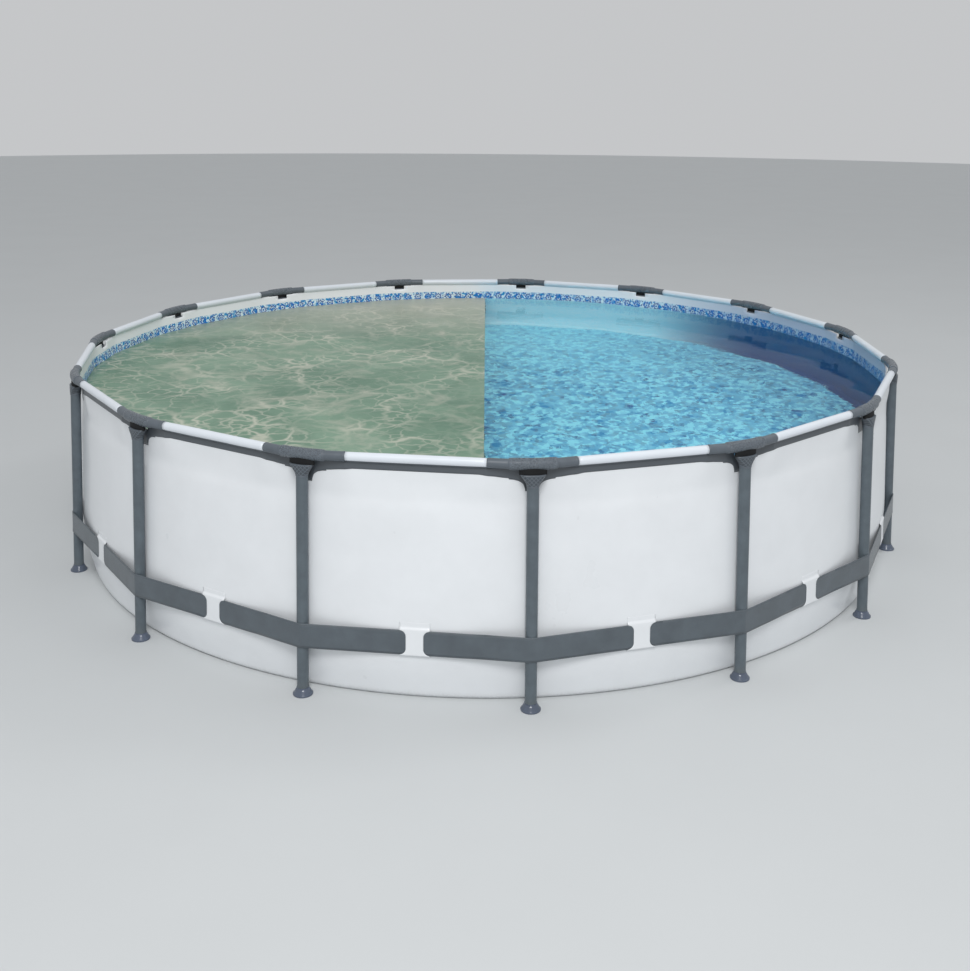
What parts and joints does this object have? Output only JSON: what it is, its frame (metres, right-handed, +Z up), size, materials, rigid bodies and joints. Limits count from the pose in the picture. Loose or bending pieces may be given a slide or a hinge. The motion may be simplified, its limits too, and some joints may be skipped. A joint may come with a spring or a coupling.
{
  "type": "above-ground frame pool",
  "caption": "Round above-ground swimming pool: steel top rails and splayed legs on T-connectors, soft liner in sleeves, flat outer belt, two hose fittings and a drain valve.",
  "frame": {"origin": "centre of the pool on the ground, on the underside of the floor sheet", "axes": "+Z up; -Y towards leg_01, so the legs follow every 24 degrees anticlockwise seen from above"},
  "size_m": [4.7398, 4.7139, 1.0705],
  "materials": {
    "leg_paint": "satin grey powder coat",
    "connector_grey": "fine-textured moulded grey",
    "rail_steel": "bare galvanised, hidden in the liner's sleeves",
    "liner_grey": "satin three-layer coated fabric",
    "floor_blue": "printed blue mosaic under water",
    "belt_grey": "flat woven polyester webbing",
    "fitting_grey": "moulded",
    "fitting_white": "moulded",
    "rubber_black": "matt moulded"
  },
  "bodies": {
    "pool": {"leg_01": "leg_paint", "leg_02": "leg_paint", "leg_03": "leg_paint", "leg_04": "leg_paint", "leg_05": "leg_paint", "leg_06": "leg_paint", "leg_07": "leg_paint", "leg_08": "leg_paint", "leg_09": "leg_paint", "leg_10": "leg_paint", "leg_11": "leg_paint", "leg_12": "leg_paint", "leg_13": "leg_paint", "leg_14": "leg_paint", "leg_15": "leg_paint", "t_connector_01": "connector_grey", "t_connector_02": "connector_grey", "t_connector_03": "connector_grey", "t_connector_04": "connector_grey", "t_connector_05": "connector_grey", "t_connector_06": "connector_grey", "t_connector_07": "connector_grey", "t_connector_08": "connector_grey", "t_connector_09": "connector_grey", "t_connector_10": "connector_grey", "t_connector_11": "connector_grey", "t_connector_12": "connector_grey", "t_connector_13": "connector_grey", "t_connector_14": "connector_grey", "t_connector_15": "connector_grey", "top_rail_01": "rail_steel", "top_rail_02": "rail_steel", "top_rail_03": "rail_steel", "top_rail_04": "rail_steel", "top_rail_05": "rail_steel", "top_rail_06": "rail_steel", "top_rail_07": "rail_steel", "top_rail_08": "rail_steel", "top_rail_09": "rail_steel", "top_rail_10": "rail_steel", "top_rail_11": "rail_steel", "top_rail_12": "rail_steel", "top_rail_13": "rail_steel", "top_rail_14": "rail_steel", "top_rail_15": "rail_steel", "liner_wall": "liner_grey", "liner_floor": "floor_blue", "belt": "belt_grey", "inlet_fitting": "fitting_grey", "inlet_nut": "fitting_grey", "inlet_gasket": "rubber_black", "outlet_fitting": "fitting_grey", "outlet_nut": "fitting_grey", "outlet_gasket": "rubber_black", "drain_body": "fitting_white"},
    "inlet_stopper": {"inlet_stopper": "rubber_black"},
    "outlet_stopper": {"outlet_stopper": "rubber_black"},
    "drain_plug": {"drain_plug": "fitting_white"},
    "drain_cap": {"drain_cap": "fitting_white"}
  },
  "joints": [
    {"name": "inlet_stopper_pull", "type": "slide", "parent": "pool", "child": "inlet_stopper", "axis": [0.781, -0.6174, -0.094], "range_m": [0, 0.045]},
    {"name": "outlet_stopper_pull", "type": "slide", "parent": "pool", "child": "outlet_stopper", "axis": [0.6963, -0.7128, -0.0838], "range_m": [0, 0.045]},
    {"name": "drain_plug_pull", "type": "slide", "parent": "pool", "child": "drain_plug", "axis": [0.6118, -0.7739, 0.1638], "range_m": [0, 0.03]},
    {"name": "drain_cap_unscrew", "type": "slide", "parent": "pool", "child": "drain_cap", "axis": [-0.6118, 0.7739, -0.1638], "range_m": [0, 0.04]}
  ]
}
